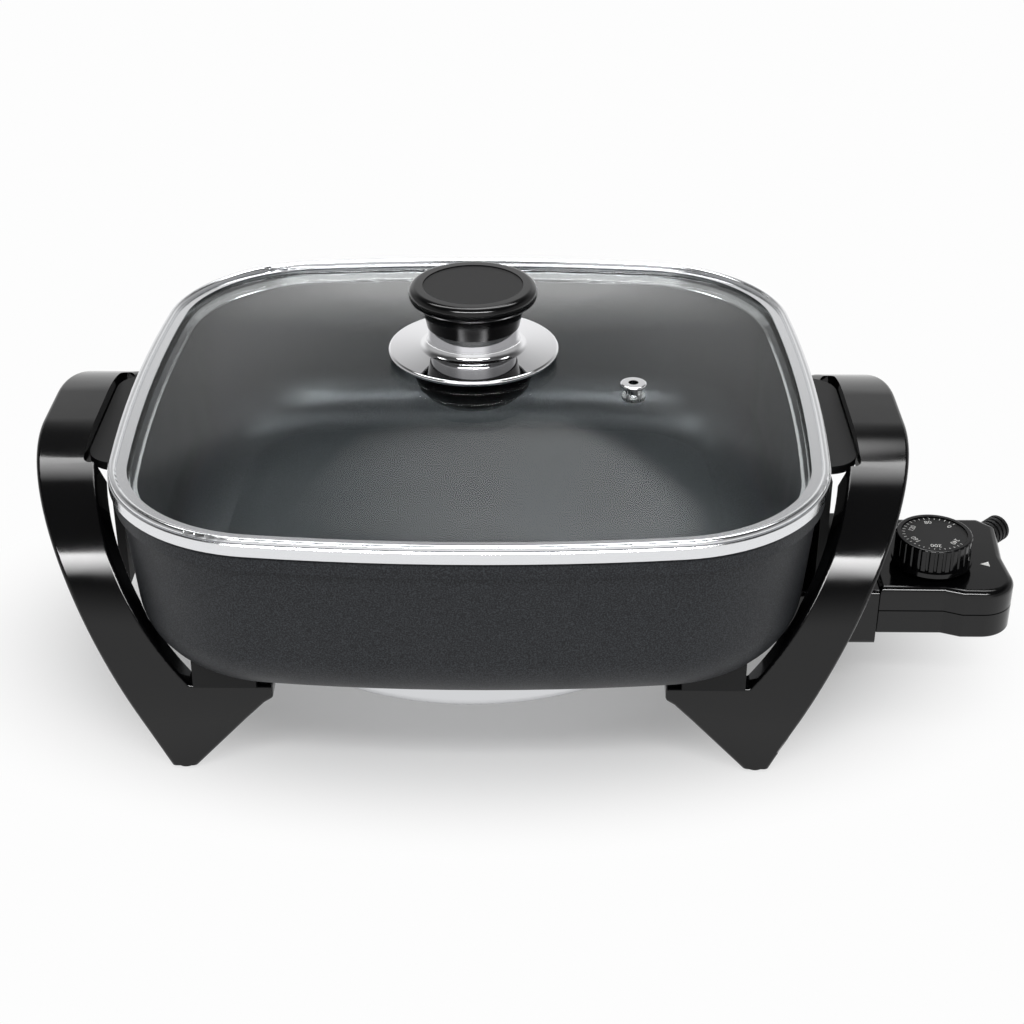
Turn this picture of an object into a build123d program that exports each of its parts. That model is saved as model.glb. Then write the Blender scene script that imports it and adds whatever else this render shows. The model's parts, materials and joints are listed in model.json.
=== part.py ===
# Electric grill pan: a square cast pan on two arched side stands, with a glass lid and a plug-in heat control.
# Millimetres. The origin is on the table under the pan's centre, +Z is up, +X points to the heat control.
import os
from math import hypot, sqrt

from build123d import *

# Overall form, shared by the lid and the pan
lid_width = 320
lid_depth = 306
side_bow_radius = 959
end_bow_radius = 797
corner_radius = 75.6
rim_height = 141
overrun = 1
full_turn = 360

# Pan
lid_gap = 0.3
pan_drop = 9
pan_lip_inset = 1.5
pan_lip_height = 6.5
pan_lip_round = 1
pan_wall_inset = 4
pan_bottom_height = 52
pan_draft = 5
pan_wall = 4.2
pan_floor = 5
pan_bottom_round = 30
pan_inner_round = 27
floor_panel_margin = 34
floor_panel_rise = 0.5

# Heater under the pan
heater_radius = 119
heater_thickness = 14
heater_edge_round = 5
heater_tube_radius = 3.5
heater_tube_gap = 0.1
heater_loop_reach = 82
heater_loop_round = 45
heater_exit_round = 13
heater_turn_share = 0.9
heater_screw_circle = 64
heater_screw_radius = 2
heater_screw_head_radius = 4
heater_screw_head_height = 2.5
heater_screw_depth = 3.5
thread_gap = 0.05

# Plug line: two contact pins with the heat probe between them
plug_y = -24
plug_height = 46
pin_pitch = 24
pin_radius = 2.4
pin_end = 184
insulator_radius = 5
insulator_length = 9
insulator_start = 121
sleeve_radius = 4.4
sleeve_start = 58
probe_radius = 2.8
probe_gap = 0.35
probe_tip_gap = 4
probe_tip_share = 0.8

# Inlet shroud round the pins
shroud_end = 188.5
shroud_start = 123
shroud_front = -58
shroud_back = 18
shroud_bottom = 32.5
shroud_top = 61.5
shroud_wall = 2.5
shroud_round = 3
shroud_pan_gap = 0.3
shroud_boss_radius = 5
shroud_boss_spread = 58
shroud_boss_x = 128
shroud_floor = 4
shroud_screw_radius = 1.75
shroud_screw_head_radius = 3.5
shroud_screw_head_height = 2.4
shroud_screw_bite = 7

# Side stands
handle_reach = 42.3
ribbon_width = 29.5
crest_drop = 13.5
leg_spread = 228
leg_thickness = 12
crest_level = 28
stand_edge_round = 2
foot_tuck = 67
foot_width = 12
outer_bend_shares = (0.44, 0.47)
inner_bend_shares = (0.634, 0.536)
arm_corner_tuck = 48.6
arm_end_reach = 37
arm_end_height = 6.5
arm_nose = 4
arm_nose_drop = 2.5
arm_v_inset = 12
arm_v_drop = 17
hand_hole_width = 94
hand_hole_bite = 3.5
hand_hole_round = 3
stand_pan_gap = 0.6
spacer_height = 7
spacer_length = 28
spacer_start = 94
spacer_gap = 0.2
stand_boss_radius = 4.5
stand_boss_gap = 0.2
stand_screw_x = 108
stand_screw_radius = 2
stand_screw_head_radius = 3.8
stand_screw_head_height = 3
stand_screw_seat = 6
stand_screw_bite = 8
foot_height = 2
foot_radius = 4.5
foot_stem_radius = 2
foot_stem_length = 5
foot_stem_gap = 0.1

# Heat guards between the pan and the grips
guard_length = 92
guard_drop = 20
guard_thickness = 4
guard_outer_gap = 0.5
guard_corner_round = 14
guard_flange_length = 120
guard_flange_height = 56
guard_seat_reach = 1.5
guard_boss_radius = 4.5
guard_boss_spread = 44
guard_screw_radius = 1.75
guard_screw_head_radius = 3.5
guard_screw_head_height = 2.2
guard_screw_bite = 2.5

# Lid rim, a rolled steel channel round the glass; insets run inwards from the lid's outline
rim_band_height = 4.8
rim_band_bevel = 0.5
rim_groove_depth = 1.2
rim_groove_height = 0.7
rim_bead_inset = 0.5
rim_bead_width = 3.4
rim_bead_rise = 1.7
rim_leg_end = 8.3
rim_leg_thickness = 0.8
rim_web = 2.6
rim_foot_inset = 1.5
rim_skirt_inset = 8.7
rim_skirt_depth = 3.4
rim_skirt_lean = 1.7
rim_lip_width = 1.8
rim_lip_height = 0.9

# Lid glass
glass_inset = 3
glass_thickness = 4
glass_rise = 18
glass_play = 0.5
dome_scale_shares = (1, 0.955, 0.8, 0.6, 0.4, 0.24)
dome_rise_shares = (0, 0.035, 0.25, 0.60, 0.88, 1)
glass_hole_radius = 6

# Knob
knob_screw_radius = 2.4
knob_cap_radius = 29.5
knob_cap_top = 48.7
knob_cap_height = 7.4
knob_inlay_radius = 23
knob_inlay_recess = 1.4
knob_inlay_thickness = 1
knob_inlay_gap = 0.15
knob_neck_top_radius = 24
knob_neck_radius = 21.5
knob_shoulder = 29.5
knob_stem_radius = 8
collar_radius = 21
collar_height = 5
flange_radius = 39.5
flange_edge = 18.2
flange_sheet = 1.2
flange_flat_radius = 25
flange_crown = 1
bush_radius = 16
bush_gap = 0.2
gasket_thickness = 1.5
gasket_radius = 17
seat_radius = 28
seat_depth = 19
seat_bottom_radius = 17
seat_pocket_radius = 7
seat_pocket_depth = 7
insert_radius = 4.5
insert_length = 12
knob_head_radius = 4.5
knob_head_height = 3.2
washer_radius = 6
washer_thickness = 1

# Steam vent in the glass
vent_x = 73
vent_y = -29
vent_flange_radius = 6
vent_flange_height = 1.6
vent_tube_radius = 3.6
vent_bore_radius = 2.3
vent_glass_gap = 0.2
vent_slope_gap = 1
vent_washer_radius = 5.4
vent_washer_height = 1.4

# Heat control housing
control_gap = 0.6
control_length = 67
control_width = 70
control_y = -17
control_bottom = 34.2
control_parting = 46.8
control_top = 59
control_wall = 2.2
control_top_round = 3.5
control_bottom_round = 1.2
control_seam_height = 0.6
control_seam_depth = 0.5
control_plan_shares = (
    (0, -0.48), (0.47, -0.48), (0.60, -0.53), (1, -0.53), (0.96, -0.04), (1, 0.37), (0.885, 0.48), (0, 0.48))
control_head_round = 16
control_waist_round = 24
control_tail_round = 4
control_step_round = 3
control_nose_round = 2
nose_length = 14
nose_margin = 1.5
nose_round = 3
nose_pin_gap = 1
control_screw_radius = 1.5
control_screw_head_radius = 2.8
control_screw_head_height = 2
control_post_radius = 3.4
control_screw_shares = ((0.16, 0.38), (0.62, -0.42), (0.16, -0.38))

# Thermostat inside the control
probe_collar_radius = 4
probe_collar_length = 8
clip_length = 16
clip_wall = 1.2
clip_gap = 0.35
clip_tail_length = 14
clip_tail_thickness = 1.2
frame_length = 41
frame_width = 14
frame_thickness = 1.2
stack_length = 9
stack_height = 8
blade_thickness = 0.6
blade_width = 6
contact_radius = 1.8
contact_height = 1
clamp_length = 12
clamp_width = 16
clamp_height = 3

# Dial and its spindle
dial_x = 217.5
dial_y = -28
dial_radius = 18
dial_height = 14
dial_lift = 3.2
dial_skirt_radius = 19
dial_skirt_height = 2.2
dial_face_radius = 15.5
dial_face_recess = 0.7
dial_face_thickness = 0.6
dial_edge_round = 1
dial_flutes = 30
dial_flute_radius = 1.1
dial_flute_bite_share = 0.45
spindle_radius = 3
spindle_gap = 0.06
spindle_foot_gap = 1
spindle_bite = 6
bush_collar_radius = 6.5
bush_collar_thickness = 1.4
bush_wall = 1.5
bush_nut_thickness = 2.5

# Cord gland at the control's back corner
gland_radius = 5.6
gland_bore_radius = 3.5
gland_length = 12
gland_ribs = 4
gland_rib_rise = 1
gland_rib_share = 0.55
gland_flange_radius = 7.5
gland_flange_thickness = 2
gland_angle = 45

# Heights and places that follow from the sizes above
half_width = lid_width / 2
half_depth = lid_depth / 2
pan_top = rim_height - pan_drop
pan_lip_bottom = pan_top - pan_lip_height
heater_bottom = pan_bottom_height - heater_thickness
pan_floor_top = pan_bottom_height + pan_floor
rim_foot = pan_top + lid_gap
glass_bottom = rim_foot + rim_leg_thickness + glass_play
glass_edge_top = glass_bottom + glass_thickness
glass_top = glass_edge_top + glass_rise
glass_under = glass_top - glass_thickness
crest = rim_height - crest_drop
crest_outer = half_width + handle_reach
crest_inner = crest_outer - ribbon_width
foot_outer = crest_outer - foot_tuck
foot_inner = foot_outer - foot_width
arm_top = pan_bottom_height - spacer_height
leg_face = leg_spread / 2
leg_middle = leg_face - leg_thickness / 2
arch_radius = leg_face - crest_level / 2
shoulder_height = rim_height + knob_shoulder
cap_top = rim_height + knob_cap_top
flange_height = rim_height + flange_edge
gasket_top = glass_top + gasket_thickness
control_start = shroud_end + control_gap
dial_base = control_top + dial_lift
dial_top = dial_base + dial_height
guard_top = rim_height - guard_drop
guard_seat_x = half_width - pan_wall_inset + guard_seat_reach
probe_tip = sleeve_start + probe_tip_gap


def block(x_span, y_span, z_span):
    """Box between the low and high values of each axis."""
    spans = (x_span, y_span, z_span)
    sizes = [high - low for low, high in spans]
    centre = [(high + low) / 2 for low, high in spans]
    return Pos(*centre) * Box(*sizes)


def rod(radius, start, end):
    """Round bar from one point to another."""
    start = Vector(*start)
    run = Vector(*end) - start
    return extrude(Plane(origin=start, z_dir=run) * Circle(radius), run.length)


def tube(radius, bore, start, end):
    """Round bar with a bore right through it."""
    return rod(radius, start, end) - rod(bore, start, end)


def turned(*points):
    """Solid of revolution about Z from a closed profile of (radius, height) points."""
    corners = [(radius, 0, height) for radius, height in points]
    return revolve(make_face(Polyline(*corners, close=True)), Axis.Z, full_turn)


def corner_centre():
    """Centre of the outline's corner arc, which touches the bowed side and the bowed end."""
    side_x = half_width - side_bow_radius
    end_y = half_depth - end_bow_radius
    side_reach = side_bow_radius - corner_radius
    end_reach = end_bow_radius - corner_radius
    span = hypot(side_x, end_y)
    along = (side_reach**2 - end_reach**2 + span**2) / (2 * span)
    across = sqrt(side_reach**2 - along**2)
    step = Vector(-side_x, end_y) / span
    return Vector(side_x, 0) + step * along + Vector(-step.Y, step.X) * across


def outline_edges(inset, height):
    """Edges of the bowed rounded square, drawn in by inset; the first starts on the +X axis."""
    corner = corner_centre()
    side_hub = Vector(half_width - side_bow_radius, 0)
    end_hub = Vector(0, half_depth - end_bow_radius)
    side = side_hub + (corner - side_hub).normalized() * (side_bow_radius - inset)
    end = end_hub + (corner - end_hub).normalized() * (end_bow_radius - inset)
    bisector = (side - corner).normalized() + (end - corner).normalized()
    turn = corner + bisector.normalized() * (corner_radius - inset)
    half_side = side_hub + (side - side_hub + Vector(side_bow_radius - inset, 0)).normalized() * (
        side_bow_radius - inset)
    reach_x = half_width - inset
    reach_y = half_depth - inset

    def at(point, sign_x, sign_y):
        return (sign_x * point.X, sign_y * point.Y, height)

    tip = Vector(reach_x, 0)
    back = Vector(0, reach_y)
    return [
        ThreePointArc(at(tip, 1, 1), at(half_side, 1, 1), at(side, 1, 1)),
        ThreePointArc(at(side, 1, 1), at(turn, 1, 1), at(end, 1, 1)),
        ThreePointArc(at(end, 1, 1), at(back, 1, 1), at(end, -1, 1)),
        ThreePointArc(at(end, -1, 1), at(turn, -1, 1), at(side, -1, 1)),
        ThreePointArc(at(side, -1, 1), at(tip, -1, 1), at(side, -1, -1)),
        ThreePointArc(at(side, -1, -1), at(turn, -1, -1), at(end, -1, -1)),
        ThreePointArc(at(end, -1, -1), at(back, 1, -1), at(end, 1, -1)),
        ThreePointArc(at(end, 1, -1), at(turn, 1, -1), at(side, 1, -1)),
        ThreePointArc(at(side, 1, -1), at(half_side, 1, -1), at(tip, 1, 1)),
    ]


def outline(inset, height):
    """The bowed rounded square as a flat face."""
    return make_face(outline_edges(inset, height))


def drafted(inset, top, bottom, round_radius):
    """Bowl-shaped solid that narrows downwards by the pan's draft and has a rounded bottom edge."""
    body = extrude(outline(inset, top), top - bottom, dir=(0, 0, -1), taper=pan_draft)
    return fillet(body.faces().sort_by(Axis.Z)[0].edges(), round_radius)


def pan_envelope(gap):
    """The pan's outside below its lip, grown by a gap, for what has to keep clear of it."""
    return drafted(pan_wall_inset - gap, pan_lip_bottom, pan_bottom_height - gap, pan_bottom_round)


def stand_screw_places():
    """Where the four stand arms are screwed to the pan."""
    return [(sign_x * stand_screw_x, sign_y * leg_middle) for sign_x in (1, -1) for sign_y in (1, -1)]


def shroud_screw_places():
    """Where the two shroud screws go up into the pan."""
    middle = (shroud_front + shroud_back) / 2
    return [(shroud_boss_x, middle + side * shroud_boss_spread / 2) for side in (1, -1)]


def heater_screw_places():
    """Where the four heater screws go up into the pan's floor."""
    return [(x, y) for x in (heater_screw_circle, -heater_screw_circle) for y in (
        heater_screw_circle, -heater_screw_circle)]


def guard_boss_places():
    """Side and middle of each boss that carries a heat guard."""
    middle = guard_top - guard_flange_height / 2
    return [(side, end * guard_boss_spread / 2, middle) for side in (1, -1) for end in (1, -1)]


def pan_body():
    """Die-cast pan: drafted walls, flat lip, raised cooking floor and bosses for what is screwed to it."""
    shell = pan_envelope(0)
    lip = extrude(outline(pan_lip_inset, pan_lip_bottom), pan_lip_height)
    shell += fillet(lip.faces().sort_by(Axis.Z)[-1].edges(), pan_lip_round)
    for x, y in stand_screw_places():
        shell += rod(stand_boss_radius, (x, y, arm_top), (x, y, pan_floor_top + pan_bottom_round / 2))
    for x, y in shroud_screw_places():
        boss_bottom = shroud_bottom + shroud_floor
        shell += rod(shroud_boss_radius, (x, y, boss_bottom), (x, y, pan_floor_top + pan_bottom_round / 2))
    for side, y, z in guard_boss_places():
        inner = half_width - pan_wall_inset - pan_bottom_round / 2
        shell += rod(guard_boss_radius, (side * inner, y, z), (side * guard_seat_x, y, z))
    hollow = drafted(pan_wall_inset + pan_wall, pan_top + overrun, pan_floor_top, pan_inner_round)
    shell -= hollow
    panel = extrude(outline(pan_wall_inset + floor_panel_margin, pan_floor_top - overrun), overrun + floor_panel_rise)
    shell += panel
    for x, y in stand_screw_places():
        shell -= rod(stand_screw_radius, (x, y, arm_top - overrun), (x, y, arm_top + stand_screw_bite))
    for x, y in shroud_screw_places():
        boss_bottom = shroud_bottom + shroud_floor
        shell -= rod(shroud_screw_radius, (x, y, boss_bottom - overrun), (x, y, boss_bottom + shroud_screw_bite))
    for x, y in heater_screw_places():
        top = pan_bottom_height + heater_screw_depth
        shell -= rod(heater_screw_radius, (x, y, pan_bottom_height - overrun), (x, y, top))
    for side, y, z in guard_boss_places():
        start = guard_seat_x - guard_screw_bite
        shell -= rod(guard_screw_radius, (side * start, y, z), (side * (guard_seat_x + overrun), y, z))
    return shell


def heater_path():
    """Centre line of the heating tube: a loop under the pan whose two legs run out to the contact pins."""
    reach = heater_loop_reach
    front_leg = plug_y - pin_pitch / 2
    back_leg = plug_y + pin_pitch / 2
    points = [
        (insulator_start, front_leg), (reach, front_leg), (reach, -reach), (-reach, -reach),
        (-reach, reach), (reach, reach), (reach, back_leg), (insulator_start, back_leg)]
    wide = heater_loop_round
    near = (front_leg + reach) - heater_exit_round
    radii = [heater_exit_round, near * heater_turn_share, wide, wide, wide, heater_exit_round]
    route = FilletPolyline(*[(x, y, plug_height) for x, y in points], radius=radii)
    return route


def heater_tube_solid(radius):
    """Round section carried along the heating tube's centre line."""
    start = (insulator_start, plug_y - pin_pitch / 2, plug_height)
    section = Plane(origin=start, z_dir=(-1, 0, 0)) * Circle(radius)
    return sweep(section, path=Wire(heater_path().edges()))


def heater_plate():
    """Cast aluminium heater disc with the tube's channel, the probe's bore and countersunk screw holes."""
    disc = rod(heater_radius, (0, 0, heater_bottom), (0, 0, pan_bottom_height))
    disc = fillet(disc.faces().sort_by(Axis.Z)[0].edges(), heater_edge_round)
    disc -= heater_tube_solid(heater_tube_radius + heater_tube_gap)
    disc -= rod(sleeve_radius, (sleeve_start, plug_y, plug_height), (heater_radius + overrun, plug_y, plug_height))
    for x, y in heater_screw_places():
        disc -= rod(heater_screw_radius, (x, y, heater_bottom - overrun), (x, y, pan_bottom_height + overrun))
        seat = heater_bottom + heater_screw_head_height
        disc -= rod(heater_screw_head_radius, (x, y, heater_bottom - overrun), (x, y, seat))
    return disc


def heater_tube():
    """Sheathed heating tube in the disc's channel."""
    return heater_tube_solid(heater_tube_radius)


def heater_screws():
    """Four screws that hold the heater disc to the pan's floor."""
    screws = []
    for x, y in heater_screw_places():
        head_top = heater_bottom + heater_screw_head_height
        shank_top = pan_bottom_height + heater_screw_depth
        head = rod(heater_screw_head_radius - thread_gap, (x, y, heater_bottom), (x, y, head_top))
        screws.append(head + rod(heater_screw_radius - thread_gap, (x, y, head_top), (x, y, shank_top)))
    return Compound(children=screws)


def plug_lines():
    """Y of the two contact pins."""
    return (plug_y - pin_pitch / 2, plug_y + pin_pitch / 2)


def contact_pins():
    """Two round contact pins on the ends of the heating tube."""
    pins = []
    for y in plug_lines():
        pin = rod(pin_radius, (insulator_start, y, plug_height), (pin_end, y, plug_height))
        pins.append(fillet(pin.edges().sort_by(Axis.X)[-1], pin_radius / 2))
    return Compound(children=pins)


def pin_insulators():
    """Two ceramic collars round the pins where they leave the tube."""
    end = insulator_start + insulator_length
    return Compound(children=[
        tube(insulator_radius, pin_radius + thread_gap, (insulator_start, y, plug_height), (end, y, plug_height))
        for y in plug_lines()])


def probe_sleeve():
    """Blind metal sleeve in the heater disc that the heat probe slides into."""
    end = heater_radius + sleeve_radius
    body = rod(sleeve_radius - thread_gap, (sleeve_start, plug_y, plug_height), (end, plug_y, plug_height))
    bore_start = sleeve_start + probe_tip_gap / 2
    return body - rod(probe_radius + probe_gap, (bore_start, plug_y, plug_height), (end, plug_y, plug_height))


def inlet_shroud():
    """Moulded guard round the contact pins, open to the control and screwed up to the pan's bosses."""
    body = block((shroud_start, shroud_end), (shroud_front, shroud_back), (shroud_bottom, shroud_top))
    body = fillet(body.edges().filter_by(Axis.X), shroud_round)
    inner_y = (shroud_front + shroud_wall, shroud_back - shroud_wall)
    inner_z = (shroud_bottom + shroud_floor, shroud_top - shroud_wall)
    body -= block((shroud_start - overrun, shroud_end + overrun), inner_y, inner_z)
    body -= pan_envelope(shroud_pan_gap)
    for x, y in shroud_screw_places():
        hole = shroud_screw_radius + thread_gap
        body -= rod(hole, (x, y, shroud_bottom - overrun), (x, y, shroud_bottom + shroud_floor + overrun))
    return body


def inlet_screws():
    """Two screws that hold the shroud to the pan."""
    screws = []
    for x, y in shroud_screw_places():
        head = rod(shroud_screw_head_radius, (x, y, shroud_bottom - shroud_screw_head_height), (x, y, shroud_bottom))
        top = shroud_bottom + shroud_floor + shroud_screw_bite
        screws.append(head + rod(shroud_screw_radius - thread_gap, (x, y, shroud_bottom), (x, y, top)))
    return Compound(children=screws)


def arch_face(half_span, radius, top):
    """Side view of an arch: upright legs, rounded shoulders and a level crest."""
    flat = half_span - radius
    spring = top - radius
    slant = radius * sqrt(0.5)
    shoulder = ThreePointArc((0, half_span, spring), (0, flat + slant, spring + slant), (0, flat, top))
    far_shoulder = ThreePointArc((0, -flat, top), (0, -flat - slant, spring + slant), (0, -half_span, spring))
    return make_face([
        Line((0, half_span, 0), (0, half_span, spring)), shoulder, Line((0, flat, top), (0, -flat, top)),
        far_shoulder, Line((0, -half_span, spring), (0, -half_span, 0)), Line((0, -half_span, 0), (0, half_span, 0))])


def stand_front_face():
    """Front view of one stand: the leaning ribbon, the arm under the pan and the pointed foot."""
    bend_x, bend_z = outer_bend_shares
    outer_bend = (foot_outer + (crest_outer - foot_outer) * bend_x, 0, foot_height + (crest - foot_height) * bend_z)
    inner_x, inner_z = inner_bend_shares
    arm_corner = crest_inner - arm_corner_tuck
    inner_bend = (arm_corner + (crest_inner - arm_corner) * inner_x, 0, arm_top + (crest - arm_top) * inner_z)
    arm_end = arm_corner - arm_end_reach
    nose_z = arm_top - arm_end_height
    lower = [
        (arm_corner, 0, arm_top), (arm_end, 0, arm_top), (arm_end, 0, nose_z),
        (arm_end + arm_nose, 0, nose_z - arm_nose_drop), (arm_end + arm_v_inset, 0, arm_top - arm_v_drop),
        (foot_inner, 0, foot_height), (foot_outer, 0, foot_height)]
    return make_face([
        ThreePointArc((crest_inner, 0, crest), inner_bend, (arm_corner, 0, arm_top)),
        *Polyline(*lower).edges(),
        ThreePointArc((foot_outer, 0, foot_height), outer_bend, (crest_outer, 0, crest)),
        *Polyline((crest_outer, 0, crest), (crest_outer, 0, rim_height), (crest_inner, 0, rim_height), (
            crest_inner, 0, crest)).edges()])


def stand():
    """Right-hand stand: grip and two legs in one moulded arch, with its hand hole, screw and foot holes."""
    front = extrude(stand_front_face(), leg_face + overrun, dir=(0, 1, 0), both=True)
    reach = crest_outer + overrun
    inner = arch_face(leg_face - leg_thickness, arch_radius - leg_thickness, crest - leg_thickness)
    body = front & extrude(arch_face(leg_face, arch_radius, crest), reach, dir=(1, 0, 0))
    body -= extrude(inner, reach, dir=(1, 0, 0))
    soles = body.faces().group_by(Axis.Z)[0]
    body = fillet(body.edges() - soles.edges(), stand_edge_round)
    bite = crest_inner + hand_hole_bite
    hole = block((0, bite), (-hand_hole_width / 2, hand_hole_width / 2), (arm_top, rim_height))
    body -= fillet(hole.edges().filter_by(Axis.Z), hand_hole_round)
    body -= pan_envelope(stand_pan_gap)
    for x, y in stand_screw_places():
        seat = arm_top - stand_screw_seat
        body -= rod(stand_screw_radius + stand_boss_gap, (x, y, 0), (x, y, rim_height))
        body -= rod(stand_screw_head_radius + stand_boss_gap, (x, y, 0), (x, y, seat))
    for y in (leg_middle, -leg_middle):
        foot_x = (foot_outer + foot_inner) / 2
        stem_top = foot_height + foot_stem_length + foot_stem_gap
        body -= rod(foot_stem_radius + foot_stem_gap, (foot_x, y, 0), (foot_x, y, stem_top))
    return body


def left_of(shape):
    """The mirror image across the pan's middle."""
    return mirror(shape, about=Plane.YZ)


def stand_spacers():
    """Four heat-proof blocks between the stand arms and the pan, each round a boss of the pan."""
    blocks = []
    hollow = pan_envelope(spacer_gap)
    for x, y in stand_screw_places():
        side = 1 if x > 0 else -1
        ends = sorted((side * spacer_start, side * (spacer_start + spacer_length)))
        depth = leg_thickness / 2
        tall = block(ends, (y - depth, y + depth), (arm_top, arm_top + 2 * spacer_height))
        tall -= hollow
        blocks.append(tall - rod(stand_boss_radius + stand_boss_gap, (x, y, 0), (x, y, rim_height)))
    return Compound(children=blocks)


def stand_screws():
    """Four screws that hold the arms to the pan's bosses."""
    screws = []
    for x, y in stand_screw_places():
        seat = arm_top - stand_screw_seat
        head = rod(stand_screw_head_radius, (x, y, seat - stand_screw_head_height), (x, y, seat))
        top = arm_top + stand_screw_bite
        screws.append(head + rod(stand_screw_radius - thread_gap, (x, y, seat), (x, y, top)))
    return Compound(children=screws)


def rubber_feet():
    """Four rubber feet with stems pushed up into the legs."""
    feet = []
    for side in (1, -1):
        for y in (leg_middle, -leg_middle):
            x = side * (foot_outer + foot_inner) / 2
            pad = rod(foot_radius, (x, y, 0), (x, y, foot_height))
            pad = fillet(pad.edges().sort_by(Axis.Z)[0], foot_height / 4)
            feet.append(pad + rod(foot_stem_radius, (x, y, foot_height), (x, y, foot_height + foot_stem_length)))
    return Compound(children=feet)


def guard():
    """Right-hand heat guard: a level plate beside the lid with a flange screwed to the pan's side."""
    outer = crest_inner + hand_hole_bite - guard_outer_gap
    half = guard_length / 2
    flange_outer = guard_seat_x + guard_thickness
    plan = [(guard_seat_x, -half), (outer, -half), (outer, half), (guard_seat_x, half)]
    radii = [0, guard_corner_round, guard_corner_round, 0]
    face = make_face(FilletPolyline(*[(x, y, guard_top) for x, y in plan], radius=radii, close=True))
    body = extrude(face, guard_thickness, dir=(0, 0, -1))
    low = guard_top - guard_flange_height
    flange_half = guard_flange_length / 2
    body += block((guard_seat_x, flange_outer), (-flange_half, flange_half), (low, guard_top))
    for side, y, z in guard_boss_places():
        hole = guard_screw_radius + thread_gap
        body -= rod(hole, (guard_seat_x - overrun, y, z), (flange_outer + overrun, y, z))
    return body


def guard_screws():
    """Four screws that hold the two guards to the pan's side bosses."""
    screws = []
    for side, y, z in guard_boss_places():
        seat = guard_seat_x + guard_thickness
        head = rod(guard_screw_head_radius, (side * seat, y, z), (side * (seat + guard_screw_head_height), y, z))
        tip = guard_seat_x - guard_screw_bite
        screws.append(head + rod(guard_screw_radius - thread_gap, (side * tip, y, z), (side * seat, y, z)))
    return Compound(children=screws)


def lid_rim():
    """Rolled steel rim: outer band, bead, upper leg over the glass, and a lower leg with an inner skirt."""
    band_bottom = rim_height - rim_bead_rise - rim_groove_height - rim_band_bevel - rim_band_height
    band_top = band_bottom + rim_band_height
    shelf = band_top + rim_band_bevel
    bead_base = shelf + rim_groove_height
    bead_end = rim_bead_inset + rim_bead_width
    leg_under = glass_edge_top + glass_play
    leg_top = leg_under + rim_leg_thickness
    floor_top = rim_foot + rim_leg_thickness
    skirt_end = rim_skirt_inset + rim_skirt_lean
    skirt_bottom = rim_foot - rim_skirt_depth
    lip_end = skirt_end + rim_lip_width

    def at(inset, height):
        return (half_width - inset, 0, height)

    bead = ThreePointArc(
        at(rim_bead_inset, bead_base), at(rim_bead_inset + rim_bead_width / 2, bead_base + rim_bead_rise),
        at(bead_end, bead_base))
    start = [
        at(rim_foot_inset, band_bottom), at(0, band_bottom), at(0, band_top), at(rim_band_bevel, shelf),
        at(rim_groove_depth, shelf), at(rim_groove_depth, bead_base), at(rim_bead_inset, bead_base)]
    rest = [
        at(bead_end, bead_base), at(bead_end, leg_top), at(rim_leg_end, leg_top), at(rim_leg_end, leg_under),
        at(rim_web, leg_under), at(rim_web, floor_top), at(rim_skirt_inset + rim_leg_thickness, floor_top),
        at(skirt_end + rim_leg_thickness, skirt_bottom + rim_lip_height), at(lip_end, skirt_bottom + rim_lip_height),
        at(lip_end, skirt_bottom), at(skirt_end, skirt_bottom), at(rim_skirt_inset, rim_foot),
        at(rim_foot_inset, rim_foot), at(rim_foot_inset, band_bottom)]
    section = make_face([*Polyline(*start).edges(), bead, *Polyline(*rest).edges()])
    return sweep(section, path=Wire(outline_edges(0, 0)))


def dome(inset, base):
    """Pillow-shaped solid that rises from the glass outline to a small level crown."""
    sections = []
    for scale_share, rise_share in zip(dome_scale_shares, dome_rise_shares):
        flat = scale(outline(inset, 0), by=(scale_share, scale_share, 1))
        sections.append(Pos(0, 0, base + glass_rise * rise_share) * flat)
    return loft(sections)


def lid_glass():
    """Domed tempered glass with a hole for the knob's screw and one for the vent."""
    body = extrude(outline(glass_inset, glass_bottom), glass_thickness)
    body += dome(glass_inset, glass_edge_top)
    body -= dome(glass_inset - overrun, glass_bottom)
    body -= rod(glass_hole_radius, (0, 0, 0), (0, 0, cap_top))
    return body - rod(vent_tube_radius + vent_glass_gap, (vent_x, vent_y, 0), (vent_x, vent_y, cap_top))


def knob_grip():
    """Moulded knob: rounded cap with a recess for its inlay, tapered neck and a stem down to the gasket."""
    recess = cap_top - knob_inlay_recess
    cap_base = cap_top - knob_cap_height
    roll = (knob_cap_radius - knob_inlay_radius) / 2
    body = turned(
        (0, recess), (knob_inlay_radius, recess), (knob_inlay_radius, cap_top), (knob_cap_radius, cap_top),
        (knob_cap_radius, cap_base), (knob_neck_top_radius, cap_base), (knob_neck_radius, shoulder_height),
        (knob_stem_radius, shoulder_height), (knob_stem_radius, gasket_top), (0, gasket_top))
    wide = body.edges().filter_by(GeomType.CIRCLE).filter_by(lambda edge: edge.radius > knob_cap_radius - thread_gap)
    body = fillet(wide.sort_by(Axis.Z)[-1], roll)
    wide = body.edges().filter_by(GeomType.CIRCLE).filter_by(lambda edge: edge.radius > knob_cap_radius - thread_gap)
    body = fillet(wide.sort_by(Axis.Z)[0], roll)
    pocket_top = shoulder_height + insert_length / 2
    body -= rod(insert_radius, (0, 0, pocket_top - insert_length), (0, 0, pocket_top))
    return body - rod(knob_screw_radius + thread_gap, (0, 0, gasket_top - overrun), (0, 0, pocket_top))


def knob_inlay():
    """Thin disc set into the top of the knob."""
    seat = cap_top - knob_inlay_recess
    return rod(knob_inlay_radius - knob_inlay_gap, (0, 0, seat), (0, 0, seat + knob_inlay_thickness))


def knob_insert():
    """Threaded brass insert moulded into the knob."""
    top = shoulder_height + insert_length / 2
    return tube(insert_radius, knob_screw_radius, (0, 0, top - insert_length), (0, 0, top))


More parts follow.
